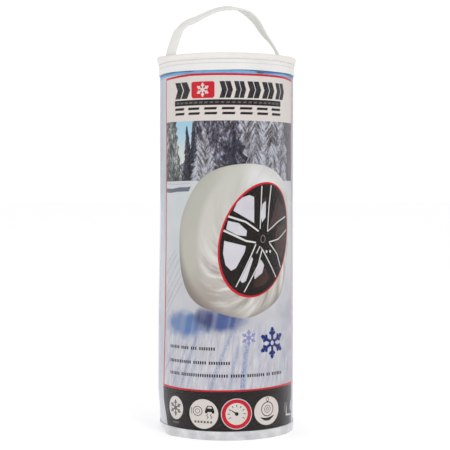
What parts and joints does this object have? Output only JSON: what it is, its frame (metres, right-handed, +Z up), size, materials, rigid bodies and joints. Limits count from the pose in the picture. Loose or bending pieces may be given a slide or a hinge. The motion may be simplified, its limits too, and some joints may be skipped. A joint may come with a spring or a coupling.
{
  "type": "snow sock carry bag",
  "caption": "Round clear carry bag with a zipped textile lid and a webbing handle, holding a printed insert and rolled textile snow socks.",
  "frame": {"origin": "middle of the foot, on the surface that the bag stands on", "axes": "+Z up along the bag's axis, -Y towards the front of the printed insert"},
  "size_m": [0.1308, 0.1308, 0.3948],
  "materials": {
    "clear_film": "clear, glossy",
    "frosted_film": "frosted by the weld",
    "printed_card": "printed, satin",
    "zip_tape": "fine twill tape",
    "zip_coil": "moulded polyester coil",
    "binding_fabric": "folded grosgrain binding",
    "lid_fabric": "coated plain weave",
    "webbing": "flat woven polypropylene",
    "slider_metal": "white enamel on die-cast zinc",
    "sock_fabric": "white technical textile",
    "red_elastic": "covered elastic cord",
    "white_elastic": "knitted elastic band",
    "leaflet_paper": "uncoated paper"
  },
  "bodies": {
    "bag": {"bag_wall": "clear_film", "wall_lap_weld": "clear_film", "foot_weld_band": "frosted_film", "base_panel": "frosted_film", "lower_zip_tape": "zip_tape", "lower_zip_coil": "zip_coil", "zip_stop_left": "zip_coil", "zip_stop_right": "zip_coil", "hinge_gusset_lower": "zip_tape", "insert_sheet": "printed_card", "sock_lower_cover": "sock_fabric", "sock_upper_cover": "sock_fabric", "sock_lower_front_elastic": "red_elastic", "sock_upper_front_elastic": "red_elastic", "sock_lower_rear_elastic": "white_elastic", "sock_upper_rear_elastic": "white_elastic", "instruction_leaflet": "leaflet_paper"},
    "lid": {"lid_panel": "lid_fabric", "lid_binding": "binding_fabric", "upper_zip_tape": "zip_tape", "upper_zip_coil": "zip_coil", "hinge_gusset_upper": "zip_tape", "handle_end_front": "webbing", "handle_end_rear": "webbing"},
    "slider": {"zip_slider": "slider_metal"},
    "puller": {"zip_puller": "slider_metal"},
    "handle": {"handle_strap": "webbing"}
  },
  "joints": [
    {"name": "lid_hinge", "type": "hinge", "parent": "bag", "child": "lid", "pos_m": [0, 0.063, 0.336], "axis": [-1, 0, 0], "range_deg": [0, 115]},
    {"name": "handle_swing", "type": "hinge", "parent": "lid", "child": "handle", "pos_m": [0, 0, 0.3536], "axis": [0.8387, 0.5446, 0], "range_deg": [-80, 80]},
    {"name": "slider_travel", "type": "hinge", "parent": "bag", "child": "slider", "pos_m": [0, 0, 0.336], "axis": [0, 0, 1], "range_deg": [0, 292]},
    {"name": "puller_flip", "type": "hinge", "parent": "slider", "child": "puller", "pos_m": [-0.03651, 0.05414, 0.336], "axis": [0, 0, -1], "range_deg": [0, 175]}
  ]
}
